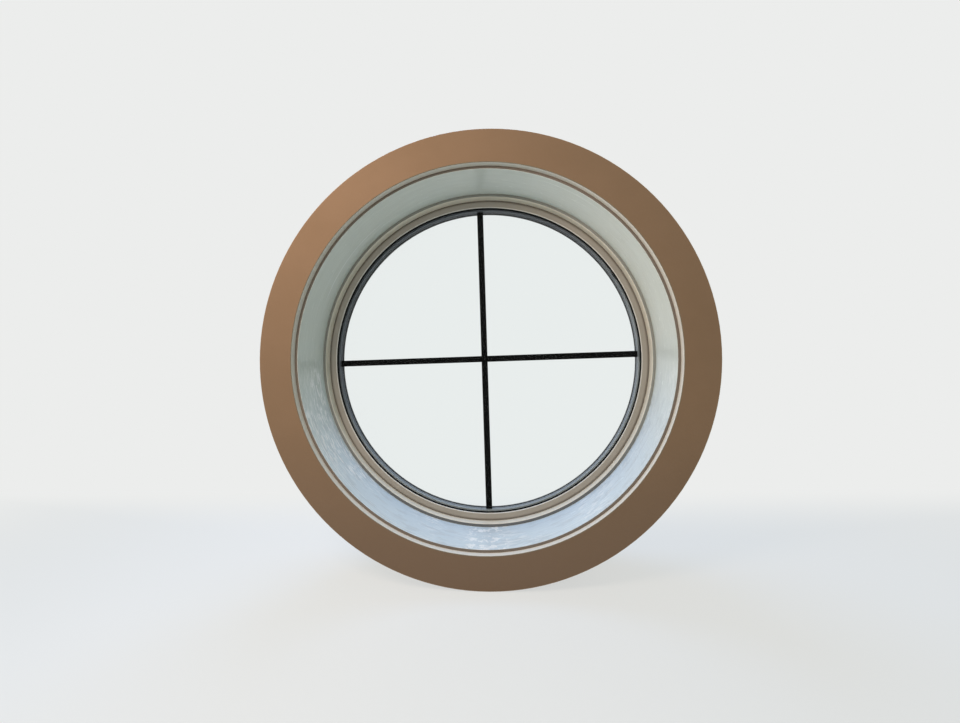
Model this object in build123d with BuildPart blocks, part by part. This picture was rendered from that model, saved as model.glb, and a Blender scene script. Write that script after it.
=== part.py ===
from build123d import *
from math import cos, degrees, hypot, radians, sin, sqrt
import os

os.makedirs("parts", exist_ok=True)

# Fixed round window with a grille between its panes, in millimetres.
# The window's axis is Y: the room is at -Y, the outdoors at +Y, and Z is up.
# The origin is on that axis, in the plane where the nailing fin meets the sheathing.

# The wall that the window is made for
drywall_thickness = 12.7
stud_depth = 139.7
sheathing_thickness = 11.1

# Interior casing: a flat ring on the drywall, nailed to the jamb's edge
casing_bore_radius = 435.0
casing_width = 76.0
casing_thickness = 15.9
casing_edge_bevel = 1.0
brad_count = 16
brad_first_angle = 11.25
brad_section = 1.2
brad_head_width = 2.2
brad_head_height = 0.8
brad_length = 38.0
brad_sink = 1.5

# Jamb extension: the round lining between the casing and the frame
jamb_reveal = 6.4
jamb_thickness = 19.0
jamb_edge_bevel = 0.8
jamb_tongue_step = 0.8

# Frame: a bent plastic profile with three chambers
frame_depth = 79.4
fin_setback = 34.9
nose_step = 7.8
nose_depth = 21.1
nose_round = 2.0
receiver_depth = 10.0
receiver_clearance = 0.3
receiver_leg = 2.9
profile_wall = 2.4
profile_web = 1.8
exterior_face_width = 30.0
stop_lip_thickness = 5.0

# Screws through the receiver's leg into the jamb
screw_count = 8
screw_first_angle = 22.5
screw_length = 15.0
screw_radius = 1.75
screw_point = 3.0
screw_head_radius = 3.4
screw_head_height = 2.2
screw_hole_clearance = 0.3

# Nailing fin: a flat ring whose tongue is bonded into a kerf around the frame
fin_thickness = 1.6
fin_reach = 38.1
fin_tongue_depth = 5.0
fin_tongue_thickness = 1.0
fin_tongue_setback = 0.3
fin_clearance = 0.1
fin_hole_count = 24
fin_hole_radius = 2.4
fin_hole_inset = 13.9

# Glazing bead: snaps over a ledge inside the frame's nose
bead_width = 17.6
bead_height = 7.5
bead_flat = 4.6
bead_slope_drop = 4.0
bead_edge_round = 1.6
bead_shoulder = 3.0
bead_leg_thickness = 3.4
bead_barb = 1.6
bead_barb_height = 3.3
bead_toe = 1.7
snap_clearance = 0.2
ledge_step = 3.3
ledge_thickness = 3.4
groove_step = 1.2
groove_depth = 15.4

# Seals on the two sides of the glass
gasket_thickness = 2.0
gasket_lip = 3.4
gasket_lip_height = 0.6
tape_thickness = 1.6
seal_setback = 0.5

# Insulated glass unit
pane_thickness = 3.2
cavity_width = 15.9
sealant_depth = 6.4
spacer_height = 5.9
spacer_wall = 0.9
spacer_shoulder = 1.8
spacer_joint_angle = -93.0
spacer_joint_gap = 0.6
key_length = 50.0
inner_clearance = 0.1

# Blocks that carry and centre the glass in its pocket
block_thickness = 4.0
block_length = 60.0
pocket_clearance = 0.6
setting_block_angles = (-115.0, -65.0)
edge_block_angles = (10.0, 60.0, 120.0, 170.0)

# Grille bars: flat tubes that lie in the cavity
bar_width = 16.0
bar_thickness = 6.0
bar_wall = 0.6
bar_edge_radius = 1.4
lap_clearance = 0.1
clip_collar = 1.5
clip_plug_length = 12.0
clip_pin_radius = 1.5
bar_angles = (0.0, 90.0, 180.0, 270.0)

# Drainage at the foot of the frame
weep_inlet_angles = (-96.0, -84.0)
weep_exit_angles = (-102.0, -78.0)
weep_inlet_length = 20.0
weep_inlet_width = 4.0
weep_exit_length = 25.0
weep_exit_height = 5.0
weep_exit_inset = 12.8
cover_margin = 4.5
cover_height = 6.0
cover_wall = 1.2
cover_corner = 1.5
cover_tab_thickness = 2.5
cover_tab_clearance = 0.2

# Radii that follow, from the casing inwards and then out through the frame
casing_outer_radius = casing_bore_radius + casing_width
jamb_radius = casing_bore_radius - jamb_reveal
jamb_outer_radius = jamb_radius + jamb_thickness
jamb_tongue_radius = jamb_radius + jamb_tongue_step
brad_circle_radius = jamb_radius + jamb_thickness / 2
frame_outer_radius = jamb_outer_radius + receiver_clearance + receiver_leg
nose_radius = jamb_radius - nose_step
ledge_radius = nose_radius - ledge_step
groove_radius = nose_radius - groove_step
bead_leg_radius = ledge_radius - snap_clearance - bead_leg_thickness
pocket_radius = bead_leg_radius - pocket_clearance
glass_radius = pocket_radius - block_thickness
spacer_outer_radius = glass_radius - sealant_depth
sight_radius = spacer_outer_radius - spacer_height
bead_edge_radius = nose_radius - bead_width
gasket_radius = bead_edge_radius - gasket_lip
seal_outer_radius = glass_radius - seal_setback
exterior_bevel_radius = frame_outer_radius - exterior_face_width
kerf_radius = frame_outer_radius - fin_tongue_depth - fin_clearance
fin_shoulder_radius = frame_outer_radius + fin_clearance
fin_outer_radius = frame_outer_radius + fin_reach
fin_hole_circle_radius = fin_outer_radius - fin_hole_inset

# Depths that follow, from the room to the outdoors
wall_depth = drywall_thickness + stud_depth + sheathing_thickness
casing_back_y = -wall_depth
casing_face_y = casing_back_y - casing_thickness
brad_top_y = casing_face_y + brad_sink
brad_tip_y = brad_top_y + brad_length
frame_exterior_y = fin_setback
frame_face_y = frame_exterior_y - frame_depth
receiver_floor_y = frame_face_y + receiver_depth
screw_y = (frame_face_y + receiver_floor_y) / 2
bead_face_y = frame_face_y + nose_depth
ledge_top_y = bead_face_y + bead_shoulder
ledge_under_y = ledge_top_y + ledge_thickness
groove_floor_y = bead_face_y + groove_depth
glass_inner_y = bead_face_y + bead_height
gasket_top_y = glass_inner_y - gasket_thickness
cavity_start_y = glass_inner_y + pane_thickness
cavity_middle_y = cavity_start_y + cavity_width / 2
cavity_end_y = cavity_start_y + cavity_width
glass_outer_y = cavity_end_y + pane_thickness
stop_y = glass_outer_y + tape_thickness
lip_y = stop_y + stop_lip_thickness
tongue_end_y = fin_tongue_setback + fin_tongue_thickness
kerf_start_y = fin_tongue_setback - fin_clearance
kerf_end_y = tongue_end_y + fin_clearance


def across(y):
    """Plane across the window at depth y, seen from the room: x right, y up."""
    return Plane.XZ.offset(-y)


def section_at(angle, y=0.0):
    """Plane through the axis at a clock angle: x outward, y towards the outdoors."""
    a = radians(angle)
    return Plane(origin=(0, y, 0), x_dir=(cos(a), 0, sin(a)), z_dir=(-sin(a), 0, cos(a)))


def facing_out(angle, radius, y):
    """Plane that faces outward at a clock angle: x towards the outdoors, y along the arc."""
    a = radians(angle)
    origin = (radius * cos(a), y, radius * sin(a))
    return Plane(origin=origin, x_dir=(0, 1, 0), z_dir=(cos(a), 0, sin(a)))


def on_exterior(angle, radius, y):
    """Plane parallel to the frame's outdoor face: x along the arc, y outward from the axis."""
    a = radians(angle)
    origin = (radius * cos(a), y, radius * sin(a))
    return Plane(origin=origin, x_dir=(-sin(a), 0, cos(a)), z_dir=(0, 1, 0))


def arc_degrees(length, radius):
    """Angle that a length takes up along a circle."""
    return degrees(length / radius)


def corner(sketch, r, y):
    """The corner of a section nearest to a point."""
    return sketch.vertices().sort_by_distance((r, y, 0))[0]


# Brads that hold the casing to the jamb, heads sunk below the painted face
with BuildPart() as casing_brads:
    with BuildSketch(across(brad_tip_y)):
        with PolarLocations(brad_circle_radius, brad_count, start_angle=brad_first_angle):
            Rectangle(brad_section, brad_section)
    extrude(amount=brad_length)
    with BuildSketch(across(brad_top_y + brad_head_height)):
        with PolarLocations(brad_circle_radius, brad_count, start_angle=brad_first_angle):
            Rectangle(brad_section, brad_head_width)
    extrude(amount=brad_head_height)

# Flat casing ring with eased edges
with BuildPart() as interior_casing:
    with BuildSketch(Plane.XY) as casing_section:
        with BuildLine():
            Polyline(
                (casing_bore_radius, casing_back_y),
                (casing_outer_radius, casing_back_y),
                (casing_outer_radius, casing_face_y),
                (casing_bore_radius, casing_face_y),
                close=True,
            )
        make_face()
        front_corners = casing_section.vertices().group_by(Axis.Y)[0]
        chamfer(front_corners, casing_edge_bevel)
    revolve(axis=Axis.Y)
    add(casing_brads.part, mode=Mode.SUBTRACT)

# Screws that hold the jamb in the frame's receiver
screw_angles = [screw_first_angle + 360 / screw_count * i for i in range(screw_count)]
with BuildPart() as jamb_screws:
    for angle in screw_angles:
        screw_plane = section_at(angle, screw_y)
        with BuildSketch(screw_plane):
            with BuildLine():
                Polyline(
                    (frame_outer_radius - screw_length, 0),
                    (frame_outer_radius - screw_length + screw_point, screw_radius),
                    (frame_outer_radius, screw_radius),
                    (frame_outer_radius, screw_head_radius),
                    (frame_outer_radius + screw_head_height, screw_radius),
                    (frame_outer_radius + screw_head_height, 0),
                    close=True,
                )
            make_face()
        revolve(axis=Axis(screw_plane.origin, screw_plane.x_dir))

# Jamb extension, under the casing, with a stepped tongue seated in the receiver
with BuildPart() as jamb_extension:
    with BuildSketch(Plane.XY) as jamb_section:
        with BuildLine():
            Polyline(
                (jamb_radius, casing_back_y),
                (jamb_outer_radius, casing_back_y),
                (jamb_outer_radius, receiver_floor_y),
                (jamb_tongue_radius, receiver_floor_y),
                (jamb_tongue_radius, frame_face_y),
                (jamb_radius, frame_face_y),
                close=True,
            )
        make_face()
        chamfer(corner(jamb_section, jamb_radius, casing_back_y), jamb_edge_bevel)
    revolve(axis=Axis.Y)
    add(casing_brads.part, mode=Mode.SUBTRACT)
    add(jamb_screws.part, mode=Mode.SUBTRACT)

# Frame profile: outline, then the three chambers inside it
receiver_inner_radius = jamb_tongue_radius - receiver_clearance
receiver_outer_radius = jamb_outer_radius + receiver_clearance
chamber_outer_radius = frame_outer_radius - profile_wall
interior_chamber_radius = nose_radius + profile_wall
drain_start_y = groove_floor_y + profile_wall
exterior_chamber_y = stop_y + profile_wall
exterior_wall_y = frame_exterior_y - profile_wall
bevel_slope = (frame_exterior_y - lip_y) / (exterior_bevel_radius - sight_radius)
bevel_wall_depth = profile_wall * hypot(1, bevel_slope)
toe_radius = sight_radius + 2 * profile_wall
toe_y = lip_y - bevel_wall_depth + (toe_radius - sight_radius) * bevel_slope
bevel_top_radius = sight_radius + (exterior_wall_y - lip_y + bevel_wall_depth) / bevel_slope

frame_outline = (
    (frame_outer_radius, frame_face_y),
    (frame_outer_radius, kerf_start_y),
    (kerf_radius, kerf_start_y),
    (kerf_radius, kerf_end_y),
    (frame_outer_radius, kerf_end_y),
    (frame_outer_radius, frame_exterior_y),
    (exterior_bevel_radius, frame_exterior_y),
    (sight_radius, lip_y),
    (sight_radius, stop_y),
    (pocket_radius, stop_y),
    (pocket_radius, groove_floor_y),
    (groove_radius, groove_floor_y),
    (groove_radius, ledge_under_y),
    (ledge_radius, ledge_under_y),
    (ledge_radius, ledge_top_y),
    (nose_radius, ledge_top_y),
    (nose_radius, frame_face_y),
    (receiver_inner_radius, frame_face_y),
    (receiver_inner_radius, receiver_floor_y),
    (receiver_outer_radius, receiver_floor_y),
    (receiver_outer_radius, frame_face_y),
)
interior_chamber = (
    (interior_chamber_radius, frame_face_y + profile_wall),
    (receiver_inner_radius - profile_wall, frame_face_y + profile_wall),
    (receiver_inner_radius - profile_wall, receiver_floor_y + profile_wall),
    (chamber_outer_radius, receiver_floor_y + profile_wall),
    (chamber_outer_radius, drain_start_y - profile_web),
    (interior_chamber_radius, drain_start_y - profile_web),
)
drain_chamber = (
    (pocket_radius + profile_wall, drain_start_y),
    (kerf_radius - profile_wall, drain_start_y),
    (kerf_radius - profile_wall, exterior_chamber_y - profile_web),
    (pocket_radius + profile_wall, exterior_chamber_y - profile_web),
)
exterior_chamber = (
    (toe_radius, exterior_chamber_y),
    (chamber_outer_radius, exterior_chamber_y),
    (chamber_outer_radius, exterior_wall_y),
    (bevel_top_radius, exterior_wall_y),
    (toe_radius, toe_y),
)

with BuildPart() as window_frame:
    with BuildSketch(Plane.XY) as frame_section:
        with BuildLine():
            Polyline(*frame_outline, close=True)
        make_face()
        fillet(corner(frame_section, nose_radius, frame_face_y), nose_round)
        for chamber in (interior_chamber, drain_chamber, exterior_chamber):
            with BuildLine():
                Polyline(*chamber, close=True)
            make_face(mode=Mode.SUBTRACT)
    revolve(axis=Axis.Y)
    # Clearance holes for the jamb screws, through the receiver's leg
    for angle in screw_angles:
        with BuildSketch(facing_out(angle, jamb_outer_radius, screw_y)):
            Circle(screw_radius + screw_hole_clearance)
        extrude(amount=2 * receiver_leg, mode=Mode.SUBTRACT)
    # Slots from the glazing pocket into the drain chamber
    for angle in weep_inlet_angles:
        inlet_y = (drain_start_y + stop_y) / 2
        with BuildSketch(facing_out(angle, pocket_radius - profile_wall, inlet_y)):
            SlotOverall(weep_inlet_length, weep_inlet_width, rotation=90)
        extrude(amount=2.5 * profile_wall, mode=Mode.SUBTRACT)
    # Slots from the drain chamber out through the frame's face
    weep_exit_radius = frame_outer_radius - weep_exit_inset
    weep_exit_start_y = exterior_chamber_y - 2 * profile_web
    for angle in weep_exit_angles:
        with BuildSketch(on_exterior(angle, weep_exit_radius, weep_exit_start_y)):
            SlotOverall(weep_exit_length, weep_exit_height)
        extrude(amount=frame_exterior_y - weep_exit_start_y, mode=Mode.SUBTRACT)

# Hooded covers over the weep slots, open towards the sill
cover_length = weep_exit_length + 2 * cover_margin
cover_width = weep_exit_height + 2 * cover_margin
tab_reach = (weep_exit_length - weep_exit_height - cover_tab_thickness) / 2
tab_width = weep_exit_height - 2 * cover_tab_clearance
with BuildPart() as weep_covers:
    for angle in weep_exit_angles:
        with BuildSketch(on_exterior(angle, weep_exit_radius, frame_exterior_y)):
            RectangleRounded(cover_length, cover_width, cover_corner)
        extrude(amount=cover_height)
        with BuildSketch(on_exterior(angle, weep_exit_radius, frame_exterior_y)):
            Rectangle(cover_length - 2 * cover_wall, cover_width - 2 * cover_wall)
            with Locations((0, cover_width / 2)):
                Rectangle(weep_exit_length, cover_width / 2)
        extrude(amount=cover_height - cover_wall, mode=Mode.SUBTRACT)
        with BuildSketch(on_exterior(angle, weep_exit_radius, exterior_wall_y)):
            with Locations((-tab_reach, 0), (tab_reach, 0)):
                Rectangle(cover_tab_thickness, tab_width)
        extrude(amount=profile_wall + cover_height - cover_wall)

# Nailing fin: its shoulder meets the frame and its tongue lies in the kerf
with BuildPart() as nailing_fin:
    with BuildSketch(Plane.XY):
        with BuildLine():
            Polyline(
                (kerf_radius + fin_clearance, fin_tongue_setback),
                (fin_shoulder_radius, fin_tongue_setback),
                (fin_shoulder_radius, 0),
                (fin_outer_radius, 0),
                (fin_outer_radius, fin_thickness),
                (fin_shoulder_radius, fin_thickness),
                (fin_shoulder_radius, tongue_end_y),
                (kerf_radius + fin_clearance, tongue_end_y),
                close=True,
            )
        make_face()
    revolve(axis=Axis.Y)
    with BuildSketch(across(fin_thickness)):
        with PolarLocations(fin_hole_circle_radius, fin_hole_count):
            Circle(fin_hole_radius)
    extrude(amount=fin_thickness, mode=Mode.SUBTRACT)

# Glazing bead: sloped face, rounded edge over the gasket, and a leg barbed under the ledge
bead_outer_radius = nose_radius - snap_clearance
bead_leg_outer_radius = ledge_radius - snap_clearance
bead_edge_y = bead_face_y + bead_slope_drop
barb_y = ledge_under_y + snap_clearance
bead_foot_y = groove_floor_y - pocket_clearance
with BuildPart() as glazing_bead:
    with BuildSketch(Plane.XY) as bead_section:
        with BuildLine():
            Polyline(
                (bead_outer_radius, bead_face_y),
                (bead_outer_radius - bead_flat, bead_face_y),
                (bead_edge_radius, bead_edge_y),
                (bead_edge_radius, gasket_top_y),
                (bead_leg_radius, gasket_top_y),
                (bead_leg_radius, bead_foot_y),
                (bead_leg_radius + bead_toe, bead_foot_y),
                (bead_leg_outer_radius + bead_barb, barb_y + bead_barb_height),
                (bead_leg_outer_radius + bead_barb, barb_y),
                (bead_leg_outer_radius, barb_y),
                (bead_leg_outer_radius, ledge_top_y),
                (bead_outer_radius, ledge_top_y),
                close=True,
            )
        make_face()
        fillet(corner(bead_section, bead_edge_radius, bead_edge_y), bead_edge_round)
    revolve(axis=Axis.Y)

# Wedge gasket between the bead and the glass
with BuildPart() as bead_gasket:
    with BuildSketch(Plane.XY):
        with BuildLine():
            Polyline(
                (gasket_radius, glass_inner_y),
                (gasket_radius, glass_inner_y - gasket_lip_height),
                (bead_edge_radius, gasket_top_y),
                (seal_outer_radius, gasket_top_y),
                (seal_outer_radius, glass_inner_y),
                close=True,
            )
        make_face()
    revolve(axis=Axis.Y)

# Foam tape between the glass and the exterior stop
with BuildPart() as glazing_tape:
    with BuildSketch(across(glass_outer_y)):
        Circle(seal_outer_radius)
        Circle(sight_radius + seal_setback, mode=Mode.SUBTRACT)
    extrude(amount=-tape_thickness)

# The two panes
with BuildPart() as inner_pane:
    with BuildSketch(across(glass_inner_y)):
        Circle(glass_radius)
    extrude(amount=-pane_thickness)

with BuildPart() as outer_pane:
    with BuildSketch(across(cavity_end_y)):
        Circle(glass_radius)
    extrude(amount=-pane_thickness)

# Spacer: a hollow bar bent to a ring, its ends closed by a key inside the hollow
hollow_inner_radius = sight_radius + spacer_wall
hollow_outer_radius = spacer_outer_radius - spacer_wall
hollow_start_y = cavity_start_y + spacer_wall
hollow_end_y = cavity_end_y - spacer_wall
joint_degrees = arc_degrees(spacer_joint_gap, sight_radius)
with BuildPart() as spacer:
    with BuildSketch(section_at(spacer_joint_angle - joint_degrees / 2)):
        with BuildLine():
            Polyline(
                (sight_radius, cavity_start_y),
                (spacer_outer_radius - spacer_shoulder, cavity_start_y),
                (spacer_outer_radius, cavity_start_y + spacer_shoulder),
                (spacer_outer_radius, cavity_end_y - spacer_shoulder),
                (spacer_outer_radius - spacer_shoulder, cavity_end_y),
                (sight_radius, cavity_end_y),
                close=True,
            )
        make_face()
        with BuildLine():
            Polyline(
                (hollow_inner_radius, hollow_start_y),
                (hollow_outer_radius, hollow_start_y + spacer_shoulder),
                (hollow_outer_radius, hollow_end_y - spacer_shoulder),
                (hollow_inner_radius, hollow_end_y),
                close=True,
            )
        make_face(mode=Mode.SUBTRACT)
    revolve(axis=Axis.Y, revolution_arc=360 - joint_degrees)
    # Holes for the pins of the grille's end clips
    for angle in bar_angles:
        with BuildSketch(facing_out(angle, sight_radius - spacer_wall, cavity_middle_y)):
            Circle(clip_pin_radius)
        extrude(amount=2.5 * spacer_wall, mode=Mode.SUBTRACT)


def hollow_filling():
    """Closed outline that fills the spacer's hollow with a small clearance."""
    start_y = hollow_start_y + spacer_shoulder
    end_y = hollow_end_y - spacer_shoulder
    return (
        (hollow_inner_radius + inner_clearance, start_y),
        (hollow_outer_radius - inner_clearance, start_y),
        (hollow_outer_radius - inner_clearance, end_y),
        (hollow_inner_radius + inner_clearance, end_y),
    )


key_degrees = arc_degrees(key_length, sight_radius)
with BuildPart() as spacer_key:
    with BuildSketch(section_at(spacer_joint_angle + key_degrees / 2)):
        with BuildLine():
            Polyline(*hollow_filling(), close=True)
        make_face()
    revolve(axis=Axis.Y, revolution_arc=key_degrees)

# Drying beads, packed into the rest of the spacer's hollow
fill_gap_degrees = arc_degrees(inner_clearance, sight_radius)
with BuildPart() as desiccant_fill:
    with BuildSketch(section_at(spacer_joint_angle - key_degrees / 2 - fill_gap_degrees)):
        with BuildLine():
            Polyline(*hollow_filling(), close=True)
        make_face()
    revolve(axis=Axis.Y, revolution_arc=360 - key_degrees - 2 * fill_gap_degrees)

# Sealant behind the spacer, flush with the edges of the panes
with BuildPart() as edge_sealant:
    with BuildSketch(Plane.XY):
        with BuildLine():
            Polyline(
                (glass_radius, cavity_start_y),
                (spacer_outer_radius - spacer_shoulder, cavity_start_y),
                (spacer_outer_radius, cavity_start_y + spacer_shoulder),
                (spacer_outer_radius, cavity_end_y - spacer_shoulder),
                (spacer_outer_radius - spacer_shoulder, cavity_end_y),
                (glass_radius, cavity_end_y),
                close=True,
            )
        make_face()
    revolve(axis=Axis.Y)

# Grille bars: tubes, half lapped where they cross
bar_reach = sqrt(sight_radius**2 - (bar_width / 2) ** 2)
bar_half_length = bar_reach - clip_collar
tube_inner_width = bar_width - 2 * bar_wall
tube_inner_thickness = bar_thickness - 2 * bar_wall
lap_width = bar_width + 2 * lap_clearance
with BuildPart() as grille_bar_vertical:
    with BuildSketch(Plane.XY.offset(-bar_half_length)):
        with Locations((0, cavity_middle_y)):
            RectangleRounded(bar_width, bar_thickness, bar_edge_radius)
            Rectangle(tube_inner_width, tube_inner_thickness, mode=Mode.SUBTRACT)
    extrude(amount=2 * bar_half_length)
    with BuildSketch(across(cavity_middle_y)):
        Rectangle(lap_width, lap_width)
    extrude(amount=-bar_thickness, mode=Mode.SUBTRACT)

with BuildPart() as grille_bar_horizontal:
    with BuildSketch(Plane.YZ.offset(-bar_half_length)):
        with Locations((cavity_middle_y, 0)):
            RectangleRounded(bar_thickness, bar_width, bar_edge_radius)
            Rectangle(tube_inner_thickness, tube_inner_width, mode=Mode.SUBTRACT)
    extrude(amount=2 * bar_half_length)
    with BuildSketch(across(cavity_middle_y)):
        Rectangle(lap_width, lap_width)
    extrude(amount=bar_thickness, mode=Mode.SUBTRACT)

# End clips: a plug in the tube, a collar, and a pin through the spacer's face
with BuildPart() as grille_end_clips:
    for angle in bar_angles:
        with BuildSketch(facing_out(angle, bar_half_length - clip_plug_length, cavity_middle_y)):
            Rectangle(
                tube_inner_thickness - 2 * inner_clearance,
                tube_inner_width - 2 * inner_clearance,
            )
        extrude(amount=clip_plug_length)
        with BuildSketch(facing_out(angle, bar_half_length, cavity_middle_y)):
            RectangleRounded(bar_thickness, bar_width, bar_edge_radius)
        extrude(amount=clip_collar)
        with BuildSketch(facing_out(angle, bar_half_length, cavity_middle_y)):
            Circle(clip_pin_radius)
        extrude(amount=hollow_inner_radius - bar_half_length)


def glazing_blocks(angles):
    """Rubber blocks that fill the pocket between the glass edge and the frame."""
    block_degrees = arc_degrees(block_length, glass_radius)
    for angle in angles:
        with BuildSketch(section_at(angle + block_degrees / 2)) as block_section:
            with BuildLine():
                Polyline(
                    (glass_radius, glass_inner_y),
                    (pocket_radius, groove_floor_y),
                    (pocket_radius, glass_outer_y),
                    (glass_radius, glass_outer_y),
                    close=True,
                )
            make_face()
        revolve(block_section.sketch, axis=Axis.Y, revolution_arc=block_degrees)


with BuildPart() as setting_blocks:
    glazing_blocks(setting_block_angles)

with BuildPart() as edge_blocks:
    glazing_blocks(edge_block_angles)

pieces = {
    "interior_casing": interior_casing,
    "casing_brads": casing_brads,
    "jamb_extension": jamb_extension,
    "jamb_screws": jamb_screws,
    "window_frame": window_frame,
    "weep_covers": weep_covers,
    "nailing_fin": nailing_fin,
    "glazing_bead": glazing_bead,
    "bead_gasket": bead_gasket,
    "glazing_tape": glazing_tape,
    "inner_pane": inner_pane,
    "outer_pane": outer_pane,
    "spacer": spacer,
    "spacer_key": spacer_key,
    "desiccant_fill": desiccant_fill,
    "edge_sealant": edge_sealant,
    "grille_bar_vertical": grille_bar_vertical,
    "grille_bar_horizontal": grille_bar_horizontal,
    "grille_end_clips": grille_end_clips,
    "setting_blocks": setting_blocks,
    "edge_blocks": edge_blocks,
}
for name, piece in pieces.items():
    piece.part.label = name
    export_step(piece.part, f"parts/{name}.step")
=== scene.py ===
from math import cos, radians, sin

import bpy
from mathutils import Matrix, Vector


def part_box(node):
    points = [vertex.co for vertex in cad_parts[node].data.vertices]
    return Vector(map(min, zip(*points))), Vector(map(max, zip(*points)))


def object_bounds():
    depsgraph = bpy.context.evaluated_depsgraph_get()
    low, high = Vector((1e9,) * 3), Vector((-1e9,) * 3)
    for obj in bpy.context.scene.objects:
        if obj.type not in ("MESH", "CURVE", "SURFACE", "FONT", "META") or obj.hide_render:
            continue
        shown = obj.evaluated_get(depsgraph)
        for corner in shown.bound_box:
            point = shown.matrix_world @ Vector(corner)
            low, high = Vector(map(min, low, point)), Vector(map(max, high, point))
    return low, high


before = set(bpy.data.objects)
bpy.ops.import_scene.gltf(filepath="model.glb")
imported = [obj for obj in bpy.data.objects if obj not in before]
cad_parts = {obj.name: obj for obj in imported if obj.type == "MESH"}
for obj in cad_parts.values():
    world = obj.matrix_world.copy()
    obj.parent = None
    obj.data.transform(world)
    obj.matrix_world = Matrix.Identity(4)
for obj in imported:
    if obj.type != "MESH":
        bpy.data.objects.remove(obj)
cad_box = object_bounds()

# Lengths are in metres. Depths lie along the window's axis, positive towards the outdoors, and the
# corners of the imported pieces' boxes give them and the outer radii.
casing_low, casing_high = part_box("interior_casing")
jamb_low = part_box("jamb_extension")[0]
frame_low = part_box("window_frame")[0]
pane_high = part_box("inner_pane")[1]
bead_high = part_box("glazing_bead")[1]
spacer_low, spacer_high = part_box("spacer")
glass_radius = pane_high.x

# Inner radii, which no box shows, as in the part's source
casing_bore = 0.4350
bead_edge = 0.4032
jamb_bore = 0.4286

# How far paint reaches round an edge
paint_line = 0.0004

# Nearly all of a noise texture lies between these values
noise_low = 0.2
noise_high = 0.8

# Camera, as found from the rings and the room's lines in the photograph
image_width = 960
focal_pixels = 365.4
sensor_width = 36.0
camera_place = Vector((0.0657, -0.9819, -0.0339))
camera_yaw = radians(4.574)
camera_pitch = radians(1.607)
camera_roll = radians(1.77)

# Floor, background and the light from all round
pale = (236, 237, 236)
floor_gap = 0.0005
floor_reach = 12.0
floor_bounce = (190, 187, 174)
world_light = 0.29
world_tint = (0.91, 1.03, 0.95, 1.0)


def make_camera():
    """The camera turned left by its yaw, up by its pitch, and rolled about its own view."""
    forward = Vector((
        -sin(camera_yaw) * cos(camera_pitch),
        cos(camera_yaw) * cos(camera_pitch),
        sin(camera_pitch),
    ))
    level = Vector((cos(camera_yaw), sin(camera_yaw), 0))
    upright = level.cross(forward)
    right = cos(camera_roll) * level - sin(camera_roll) * upright
    up = sin(camera_roll) * level + cos(camera_roll) * upright
    data = bpy.data.cameras.new("camera")
    data.sensor_width = sensor_width
    data.lens = focal_pixels / image_width * sensor_width
    data.clip_start = 0.01
    data.clip_end = 100
    camera = bpy.data.objects.new("camera", data)
    turn = Matrix((right, up, -forward)).transposed()
    camera.matrix_world = Matrix.Translation(camera_place) @ turn.to_4x4()
    bpy.context.scene.collection.objects.link(camera)
    bpy.context.scene.camera = camera


def linear(rgb):
    """A colour written as 0 to 255 in the picture, as the linear values that shaders use."""
    parts = [value / 255 for value in rgb]
    return tuple(p / 12.92 if p <= 0.04045 else ((p + 0.055) / 1.055) ** 2.4 for p in parts) + (1.0,)


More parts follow.
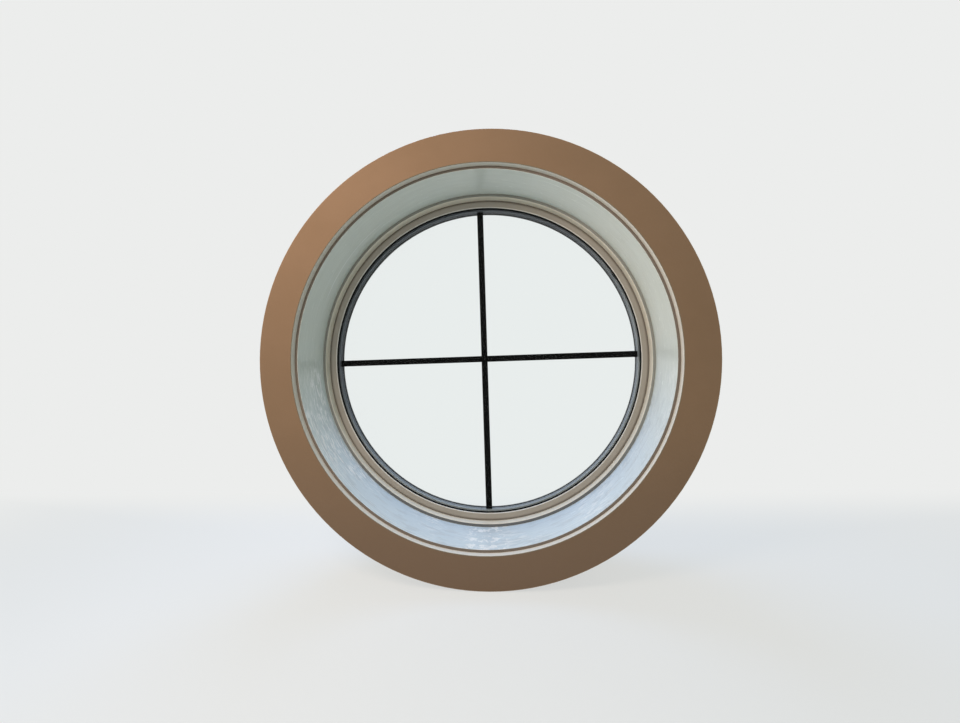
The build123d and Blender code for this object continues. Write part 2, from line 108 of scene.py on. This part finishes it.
class Finish:
    """A material and short ways to add nodes to it."""

    def __init__(self, name):
        self.material = bpy.data.materials.new(name)
        self.material.use_nodes = True
        self.tree = self.material.node_tree
        self.tree.nodes.clear()
        self.output = self.tree.nodes.new("ShaderNodeOutputMaterial")

    def set(self, socket, value):
        """Links an output to a socket, or writes a plain value on it."""
        if isinstance(value, bpy.types.NodeSocket):
            self.tree.links.new(value, socket)
        else:
            socket.default_value = value

    def node(self, kind, inputs=None, **settings):
        """A new shader node with its settings and its inputs, by name or number."""
        made = self.tree.nodes.new("ShaderNode" + kind)
        for name, value in settings.items():
            setattr(made, name, value)
        for name, value in (inputs or {}).items():
            self.set(made.inputs[name], value)
        return made

    def math(self, operation, first, second=0.0, third=0.0):
        """The result of a Math node. Only MULTIPLY_ADD reads the third number."""
        made = self.node("Math", operation=operation)
        for socket, value in zip(made.inputs, (first, second, third)):
            self.set(socket, value)
        return made.outputs[0]

    def step(self, value, start, end):
        """0 at start and 1 at end, with a smooth change between them. Either may be the larger."""
        made = self.node("MapRange", {
            "Value": value,
            "From Min": min(start, end),
            "From Max": max(start, end),
            "To Min": 0.0,
            "To Max": 1.0,
        }, interpolation_type="SMOOTHSTEP")
        if start > end:
            return self.math("SUBTRACT", 1.0, made.outputs[0])
        return made.outputs[0]

    def span(self, value, low, high):
        """Spreads a noise over a range."""
        return self.node("MapRange", {
            "Value": value,
            "From Min": noise_low,
            "From Max": noise_high,
            "To Min": low,
            "To Max": high,
        }).outputs[0]

    def mix(self, share, first, second):
        """A mix of two colours."""
        made = self.node("Mix", data_type="RGBA")
        self.set(made.inputs["Factor"], share)
        self.set(made.inputs["A"], first)
        self.set(made.inputs["B"], second)
        return made.outputs["Result"]

    def blend(self, share, first, second):
        """A mix of two numbers."""
        made = self.node("Mix", data_type="FLOAT")
        self.set(made.inputs["Factor"], share)
        self.set(made.inputs["A"], first)
        self.set(made.inputs["B"], second)
        return made.outputs["Result"]

    def place(self):
        """Object coordinates, and from them the radius from the window's axis and the depth along it."""
        self.where = self.node("TexCoord").outputs["Object"]
        parts = self.node("SeparateXYZ", {"Vector": self.where})
        self.x, self.depth, self.z = parts.outputs
        across = self.node("CombineXYZ", {"X": self.x, "Y": self.z})
        length = self.node("VectorMath", {0: across.outputs[0]}, operation="LENGTH")
        self.radius = length.outputs["Value"]

    def noise(self, scale, detail=2.0, vector=None, roughness=0.5):
        """Noise from 0 to 1 in object coordinates, or in others if given."""
        return self.node("TexNoise", {
            "Vector": self.where if vector is None else vector,
            "Scale": scale,
            "Detail": detail,
            "Roughness": roughness,
        }).outputs["Fac"]

    def ring_noise(self, along, crosswise, detail, by_depth=True):
        """Noise drawn out into strokes round the window: slow along the arc and fast across it."""
        third = self.depth if by_depth else self.radius
        parts = self.node("CombineXYZ", {
            "X": self.math("MULTIPLY", self.x, along),
            "Y": self.math("MULTIPLY", self.z, along),
            "Z": self.math("MULTIPLY", third, crosswise),
        })
        return self.noise(1.0, detail, parts.outputs[0])

    def bump(self, height, distance, strength):
        """A normal for fine relief, as deep as the distance."""
        made = self.node("Bump", {"Height": height, "Distance": distance, "Strength": strength})
        return made.outputs["Normal"]

    def show(self, shader):
        """Puts a shader on the surface and gives the finished material."""
        self.tree.links.new(shader, self.output.inputs["Surface"])
        return self.material

    def surface(self, color, roughness, normal, **sockets):
        """The Principled shader. Sockets are written as words with underscores, such as Coat_Weight."""
        inputs = {"Base Color": color, "Roughness": roughness, "Normal": normal}
        inputs.update({name.replace("_", " "): value for name, value in sockets.items()})
        return self.show(self.node("BsdfPrincipled", inputs).outputs[0])


def casing_paint():
    """Wall paint rolled on the face, in a tan that is off-white paint with the warm dim room light
    painted in, white on the bore's edge, bare board at the back.
    """
    f = Finish("casing_paint")
    f.place()
    # Painted light: the tan is off-white paint with the warm dim room light painted into it
    tone = f.mix(f.span(f.noise(9.0), 0, 1), linear((132, 105, 81)), linear((138, 110, 86)))

    # Painted shade: darker and greyer towards the foot, where less of the room's light falls
    foot_shade_share = 0.85
    foot_shade = f.math("MULTIPLY", f.step(f.z, -0.10, -0.50), foot_shade_share)
    tone = f.mix(foot_shade, tone, linear((124, 101, 84)))

    # A darker line on the chamfer where the face meets the bore, part paint line and part painted shade,
    # a painted highlight on the outer edge, and white inside the bore
    edge_highlight_share = 0.6
    near_bore = f.step(f.radius, casing_bore + 0.0013, casing_bore + 0.0010)
    tone = f.mix(near_bore, tone, linear((124, 112, 94)))
    # Painted highlight: the outer edge lighter, as if catching the lamp's light
    outer_edge_highlight = f.step(f.radius, casing_high.x - 0.0018, casing_high.x - 0.0010)
    tone = f.mix(f.math("MULTIPLY", outer_edge_highlight, edge_highlight_share), tone, linear((182, 150, 116)))
    behind_face = f.step(f.depth, casing_low.y + 0.0008, casing_low.y + 0.0012)
    bore = f.math("MULTIPLY", near_bore, behind_face)
    tone = f.mix(bore, tone, linear((233, 227, 217)))

    back = f.step(f.depth, casing_high.y - 2 * paint_line, casing_high.y - paint_line)
    board = f.mix(f.noise(420.0, 4), linear((150, 116, 82)), linear((176, 142, 104)))
    tone = f.mix(back, tone, board)

    coarse = f.math("MULTIPLY", f.noise(130.0, 2), 0.8)
    stipple = f.math("ADD", f.noise(420.0, 3), coarse)
    normal = f.bump(stipple, distance=0.00035, strength=0.35)
    paint_gloss = f.span(f.noise(40.0, 3), 0.42, 0.56)
    board_gloss = 0.9
    return f.surface(tone, f.blend(back, paint_gloss, board_gloss), normal, Specular_IOR_Level=0.25)


def jamb_gloss():
    """Gloss white brushed round the bore, with painted sky light, painted reflections and painted glints
    on it, a duller front edge darkened as painted shade, and bare wood outside.
    """
    f = Finish("jamb_gloss")
    f.place()
    strokes = f.ring_noise(along=7.0, crosswise=700.0, detail=4)
    wide = f.ring_noise(along=16.0, crosswise=120.0, detail=4)
    blots = f.ring_noise(along=46.0, crosswise=270.0, detail=4)
    reflection_mottle = f.ring_noise(along=20.0, crosswise=64.0, detail=5)
    glint_streaks = f.ring_noise(along=2.2, crosswise=260.0, detail=1)
    grain = f.ring_noise(along=14.0, crosswise=1300.0, detail=5)
    glint_white = linear((254, 255, 255))

    # Painted sky light: bluer lower down. Painted reflections: darker mottled patches lower down and a
    # few pale streaks all round
    sky_light_share, mottle_share, streak_glint_share = 0.9, 0.35, 0.6
    tone = f.mix(f.span(wide, 0, 1), linear((216, 221, 214)), linear((223, 228, 221)))
    sky_light_tint = f.math("MULTIPLY", f.step(f.z, 0.05, -0.30), sky_light_share)
    tone = f.mix(sky_light_tint, tone, linear((209, 222, 231)))
    # Painted reflection: darker mottled patches lower down, as the gloss mirrors the darker outdoors
    mottle_zone = f.math("MULTIPLY", f.step(f.z, 0.08, -0.22), mottle_share)
    dull = f.math("MULTIPLY", f.step(reflection_mottle, 0.50, 0.36), mottle_zone)
    tone = f.mix(dull, tone, linear((186, 193, 198)))
    # Painted highlights: pale streaks where brush marks catch the light
    streak_glint = f.math("MULTIPLY", f.step(glint_streaks, 0.69, 0.76), streak_glint_share)
    tone = f.mix(streak_glint, tone, linear((248, 250, 250)))

    # Painted glints: white marks in the lower half where the brush marks catch reflected light, dense at
    # the left between two depths, and loose elsewhere, fewer towards the right
    loose_share = 0.8
    few, half, full = 0.08, 0.5, 1.0
    band_start = f.step(f.depth, -0.128, -0.106)
    band_end = f.step(f.depth, -0.052, -0.066)
    band = f.math("MULTIPLY", band_start, band_end)
    left = f.math("MULTIPLY", f.step(f.x, -0.34, -0.41), band)
    loose = f.math("MULTIPLY", f.step(f.noise(5.0, 3), 0.42, 0.60), loose_share)
    heavy = f.math("MAXIMUM", loose, left)
    most = f.blend(f.step(f.x, 0.10, -0.22), half, full)
    patches = f.math("MULTIPLY", f.step(f.z, 0.05, -0.06), f.blend(heavy, few, most))
    painted_glints = f.math("MULTIPLY", f.step(blots, 0.50, 0.60), patches)
    tone = f.mix(painted_glints, tone, glint_white)

    # Painted reflection: bright white patches on the sill, at the very foot
    sill_glint_share = 0.85
    middle = f.step(f.math("ABSOLUTE", f.x), 0.060, 0.030)
    sill = f.math("MULTIPLY", f.step(f.z, -0.38, -0.41), middle)
    rough_patches = f.step(f.noise(62.0, 5, roughness=0.62), 0.52, 0.57)
    sill_glints = f.math("MULTIPLY", rough_patches, sill)
    tone = f.mix(f.math("MULTIPLY", sill_glints, sill_glint_share), tone, glint_white)

    # Painted shade: the jamb's front edge, shaded by the casing's rebate, is darkened to taupe
    edge = f.step(f.depth, jamb_low.y + paint_line, jamb_low.y + paint_line / 2)
    tone = f.mix(edge, tone, linear((118, 105, 95)))
    outside = f.step(f.radius, jamb_bore + 0.010, jamb_bore + 0.012)
    wood = f.mix(f.span(grain, 0, 1), linear((178, 144, 100)), linear((208, 178, 134)))
    tone = f.mix(outside, tone, wood)

    height = f.math("ADD", f.math("ADD", strokes, wide), blots)
    normal = f.bump(height, distance=0.0004, strength=0.6)
    edge_gloss, wood_gloss = 0.6, 0.75
    paint_gloss = f.blend(edge, f.span(blots, 0.30, 0.16), edge_gloss)
    return f.surface(tone, f.blend(outside, paint_gloss, wood_gloss), normal)


def frame_plastic():
    """White plastic towards the room and black towards the outdoors."""
    f = Finish("frame_plastic")
    f.place()
    lines = f.ring_noise(along=4.0, crosswise=1500.0, detail=3)
    white = f.mix(f.span(f.noise(22.0), 0, 1), linear((226, 217, 200)), linear((233, 224, 207)))

    # The face's outer part, close to the jamb, is in its shade, and more so towards the foot
    front = f.step(f.depth, frame_low.y + 0.0014, frame_low.y + 0.0004)
    beside_jamb = f.step(f.radius, jamb_bore - 0.0075, jamb_bore - 0.0065)
    face = f.math("MULTIPLY", front, beside_jamb)
    low = f.step(f.z, -0.10, -0.36)
    shade = f.mix(low, linear((140, 137, 130)), linear((100, 98, 96)))
    white = f.mix(face, white, shade)

    black = f.mix(f.noise(300.0, 3), linear((20, 21, 22)), linear((30, 31, 32)))
    white_gloss, black_gloss = 0.34, 0.42
    outdoors = f.step(f.depth, 0.0016, 0.0020)
    tone = f.mix(outdoors, white, black)
    gloss = f.blend(outdoors, white_gloss, black_gloss)
    return f.surface(tone, gloss, f.bump(lines, distance=0.0001, strength=0.4))


def bead_plastic():
    """White plastic like the frame's, written darker grey-brown as painted shade in the deep recess,
    with more painted shade where it meets the frame and a painted highlight along its inner edge.
    """
    f = Finish("bead_plastic")
    f.place()
    lines = f.ring_noise(along=4.0, crosswise=1800.0, detail=3, by_depth=False)
    # Painted shade: the white plastic written in a darker grey-brown, as it lies deep in the recess
    tone = f.mix(f.span(f.noise(22.0), 0, 1), linear((148, 138, 126)), linear((155, 145, 133)))
    # Painted shade: darker towards the joint with the frame, where the bead lies in shade
    joint_shade = f.step(f.radius, bead_high.x - 0.0075, bead_high.x - 0.0010)
    tone = f.mix(joint_shade, tone, linear((106, 97, 88)))
    # Painted highlight: a light line along the inner edge, where the eased edge catches the light
    lip_highlight = f.step(f.radius, bead_edge + 0.0022, bead_edge + 0.0010)
    tone = f.mix(lip_highlight, tone, linear((214, 208, 200)))
    return f.surface(tone, 0.32, f.bump(lines, distance=0.0001, strength=0.4))


def fin_plastic():
    """Pale extruded plastic with fine lines round it."""
    f = Finish("fin_plastic")
    f.place()
    lines = f.ring_noise(along=3.0, crosswise=900.0, detail=3, by_depth=False)
    tone = f.mix(f.span(f.noise(30.0, 3), 0, 1), linear((196, 196, 193)), linear((210, 210, 207)))
    return f.surface(tone, 0.45, f.bump(lines, distance=0.0002, strength=0.5))


def black_plastic(name):
    """Moulded black plastic with a fine grain."""
    f = Finish(name)
    f.place()
    grain = f.noise(2500.0, 2)
    tone = f.mix(f.span(grain, 0, 1), linear((22, 22, 23)), linear((33, 33, 34)))
    return f.surface(tone, 0.5, f.bump(grain, distance=0.0001, strength=0.5))


def rubber(name, dark, light, scale, gloss):
    """Matte rubber, foam or sealant between two tones, with a grain of the given scale."""
    f = Finish(name)
    f.place()
    grain = f.noise(scale, 3)
    tone = f.mix(f.span(grain, 0, 1), linear(dark), linear(light))
    normal = f.bump(grain, distance=0.0002, strength=0.6)
    return f.surface(tone, gloss, normal, Specular_IOR_Level=0.15)


def clear_glass():
    """Clear coated glass with a green edge: little mirror from the front and more at a slant."""
    f = Finish("clear_glass")
    f.place()
    mirror_share = 0.05
    edge = f.step(f.radius, glass_radius - 0.0006, glass_radius - 0.0002)
    tint = f.mix(edge, linear((254, 255, 255)), linear((96, 150, 128)))
    clear = f.node("BsdfTransparent", {"Color": tint}).outputs[0]
    mirror = f.node("BsdfGlossy", {"Color": linear((255, 255, 255)), "Roughness": 0.0}).outputs[0]
    share = f.math("MULTIPLY", f.node("Fresnel", {"IOR": 1.5}).outputs[0], mirror_share)
    return f.show(f.node("MixShader", {0: share, 1: clear, 2: mirror}).outputs[0])


def spacer_plastic():
    """Matte grey with fine lines along it, with painted light making it lighter towards the lower right.
    """
    f = Finish("spacer_plastic")
    f.place()
    width = spacer_high.y - spacer_low.y
    run = f.math("DIVIDE", f.math("SUBTRACT", f.depth, spacer_low.y), width)
    line_waves = 60.0
    waves = f.math("SINE", f.math("MULTIPLY", run, line_waves))
    # Painted light: lit and shaded copies of each grey, lighter towards the lower right, where the sky's
    # light falls
    right_pull = 0.58
    sky_light_side = f.math("MULTIPLY_ADD", f.x, right_pull, f.math("MULTIPLY", f.z, -1.0))
    low = f.step(sky_light_side, -0.25, 0.25)
    dark = f.mix(low, linear((58, 60, 64)), linear((104, 107, 109)))
    light = f.mix(low, linear((86, 89, 94)), linear((140, 143, 144)))
    front = f.mix(low, linear((96, 99, 105)), linear((148, 152, 154)))
    tone = f.mix(f.step(waves, 0.2, 0.9), dark, light)
    tone = f.mix(f.step(run, 0.42, 0.30), tone, front)
    rim = f.step(run, 0.93, 0.97)
    tone = f.mix(rim, tone, linear((150, 151, 152)))
    normal = f.bump(waves, distance=0.0001, strength=0.5)
    return f.surface(tone, 0.5, normal, Specular_IOR_Level=0.2)


def drying_beads():
    """Small pale beads."""
    f = Finish("drying_beads")
    f.place()
    cells = f.node("TexVoronoi", {"Vector": f.where, "Scale": 900.0}).outputs["Distance"]
    tone = f.mix(cells, linear((214, 202, 178)), linear((150, 138, 116)))
    return f.surface(tone, 0.8, f.bump(cells, distance=0.0004, strength=0.8))


def grille_metal():
    """Matte black paint on metal."""
    f = Finish("grille_metal")
    f.place()
    peel = f.noise(700.0, 2)
    tone = f.mix(f.span(f.noise(60.0, 3), 0, 1), linear((7, 7, 7)), linear((13, 13, 13)))
    normal = f.bump(peel, distance=0.0001, strength=0.4)
    return f.surface(tone, 0.48, normal, Specular_IOR_Level=0.04)


def steel():
    """Bright zinc-coated steel."""
    f = Finish("steel")
    f.place()
    grain = f.noise(1500.0, 4)
    tone = f.mix(f.span(grain, 0, 1), linear((176, 176, 170)), linear((205, 205, 200)))
    return f.surface(tone, 0.34, f.bump(grain, distance=0.0001, strength=0.5), Metallic=1.0)


def dress_nodes():
    """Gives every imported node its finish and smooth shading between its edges."""
    glass = clear_glass()
    cover = black_plastic("cover_plastic")
    clip = black_plastic("clip_plastic")
    blocks = rubber("block_rubber", (38, 38, 41), (50, 50, 54), 500.0, 0.6)
    finishes = {
        "interior_casing": casing_paint(),
        "casing_brads": steel(),
        "jamb_extension": jamb_gloss(),
        "jamb_screws": steel(),
        "window_frame": frame_plastic(),
        "weep_covers": cover,
        "nailing_fin": fin_plastic(),
        "glazing_bead": bead_plastic(),
        "bead_gasket": rubber("seal_rubber", (7, 7, 8), (13, 13, 14), 800.0, 0.6),
        "glazing_tape": rubber("tape_foam", (30, 30, 31), (46, 46, 47), 1200.0, 0.9),
        "inner_pane": glass,
        "outer_pane": glass,
        "spacer": spacer_plastic(),
        "spacer_key": clip,
        "desiccant_fill": drying_beads(),
        "edge_sealant": rubber("edge_seal", (44, 44, 46), (60, 60, 62), 260.0, 0.55),
        "grille_bar_vertical": grille_metal(),
        "grille_bar_horizontal": grille_metal(),
        "grille_end_clips": clip,
        "setting_blocks": blocks,
        "edge_blocks": blocks,
    }
    for name, finish in finishes.items():
        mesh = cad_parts[name].data
        mesh.materials.clear()
        mesh.materials.append(finish)
        for polygon in mesh.polygons:
            polygon.material_index = 0
            polygon.use_smooth = True


def pale_floor():
    """A pale floor under the window that fades into the background around it."""
    f = Finish("floor")
    f.place()
    away = f.node("VectorMath", {0: f.where}, operation="LENGTH").outputs["Value"]
    behind = f.step(f.depth, 0.05, 0.5)
    least_fade, full_fade = 0.7, 1.0
    fade = f.blend(f.math("MAXIMUM", f.step(away, 0.6, 2.6), behind), least_fade, full_fade)
    sight = f.node("LightPath").outputs
    mirrored = f.math("MAXIMUM", sight["Is Glossy Ray"], sight["Is Transmission Ray"])
    seen = f.math("MAXIMUM", sight["Is Camera Ray"], mirrored)
    paint = f.mix(seen, linear(floor_bounce), linear(pale))
    matte = f.node("BsdfDiffuse", {"Color": paint}).outputs[0]
    glow = f.node("Emission", {"Color": linear(pale), "Strength": 1.0}).outputs[0]
    glow_share = f.math("MULTIPLY", fade, seen)
    material = f.show(f.node("MixShader", {0: glow_share, 1: matte, 2: glow}).outputs[0])

    mesh = bpy.data.meshes.new("floor")
    corners = [(-1, -1), (1, -1), (1, 1), (-1, 1)]
    mesh.from_pydata([(x * floor_reach, y * floor_reach, 0) for x, y in corners], [], [(0, 1, 2, 3)])
    mesh.materials.append(material)
    floor = bpy.data.objects.new("floor", mesh)
    floor.location.z = cad_box[0].z - floor_gap
    bpy.context.scene.collection.objects.link(floor)


def pale_world():
    """Even light from all round, seen as a pale background."""
    world = bpy.data.worlds.new("world")
    world.use_nodes = True
    tree = world.node_tree
    tree.nodes.clear()
    sight = tree.nodes.new("ShaderNodeLightPath").outputs
    seen = tree.nodes.new("ShaderNodeMath")
    seen.operation = "MAXIMUM"
    mirrored = tree.nodes.new("ShaderNodeMath")
    mirrored.operation = "MAXIMUM"
    tree.links.new(sight["Is Glossy Ray"], mirrored.inputs[0])
    tree.links.new(sight["Is Transmission Ray"], mirrored.inputs[1])
    tree.links.new(sight["Is Camera Ray"], seen.inputs[0])
    tree.links.new(mirrored.outputs[0], seen.inputs[1])
    light = tree.nodes.new("ShaderNodeBackground")
    light.inputs["Color"].default_value = world_tint
    light.inputs["Strength"].default_value = world_light
    back = tree.nodes.new("ShaderNodeBackground")
    back.inputs["Color"].default_value = linear(pale)
    back.inputs["Strength"].default_value = 1.0
    mixed = tree.nodes.new("ShaderNodeMixShader")
    output = tree.nodes.new("ShaderNodeOutputWorld")
    tree.links.new(seen.outputs[0], mixed.inputs[0])
    tree.links.new(light.outputs[0], mixed.inputs[1])
    tree.links.new(back.outputs[0], mixed.inputs[2])
    tree.links.new(mixed.outputs[0], output.inputs["Surface"])
    bpy.context.scene.world = world


def soft_lamp(name, place, target, size, power, color, mirrored=False):
    """A square soft lamp that faces a point, isn't seen by the camera, and is mirrored only if asked."""
    data = bpy.data.lights.new(name, "AREA")
    data.shape = "SQUARE"
    data.size = size
    data.energy = power
    data.color = color
    lamp = bpy.data.objects.new(name, data)
    lamp.location = place
    lamp.rotation_mode = "QUATERNION"
    lamp.rotation_quaternion = (Vector(target) - Vector(place)).to_track_quat("-Z", "Y")
    lamp.visible_camera = False
    lamp.visible_glossy = mirrored
    bpy.context.scene.collection.objects.link(lamp)


def light_studio():
    """The floor, the world, and lamps for the room's lights, the sky and the light off the yard."""
    pale_world()
    pale_floor()
    soft_lamp(
        "room_lamp", place=(-0.55, -0.88, 0.66), target=(0, -0.18, 0),
        size=0.4, power=7.6, color=(1.0, 0.82, 0.71),
    )
    soft_lamp(
        "front_lamp", place=(-0.3, -2.4, 0.5), target=(0, 0, 0),
        size=1.8, power=17, color=(0.93, 1.0, 0.97),
    )
    soft_lamp(
        "sky_lamp", place=(-0.3, 0.72, 1.7), target=(0, -0.05, -0.2),
        size=1.3, power=30, color=(0.36, 0.57, 1.0), mirrored=True,
    )
    soft_lamp(
        "ground_lamp", place=(-0.9, 1.3, -0.1), target=(0.1, 0, 0.1),
        size=0.7, power=6.6, color=(1.0, 0.88, 0.92),
    )
    soft_lamp(
        "yard_lamp", place=(-0.05, 0.55, -0.2), target=(-0.05, -0.1, 0.42),
        size=0.5, power=0.7, color=(0.96, 1.0, 0.94),
    )


make_camera()
light_studio()
dress_nodes()
bpy.context.scene.view_settings.view_transform = "Standard"
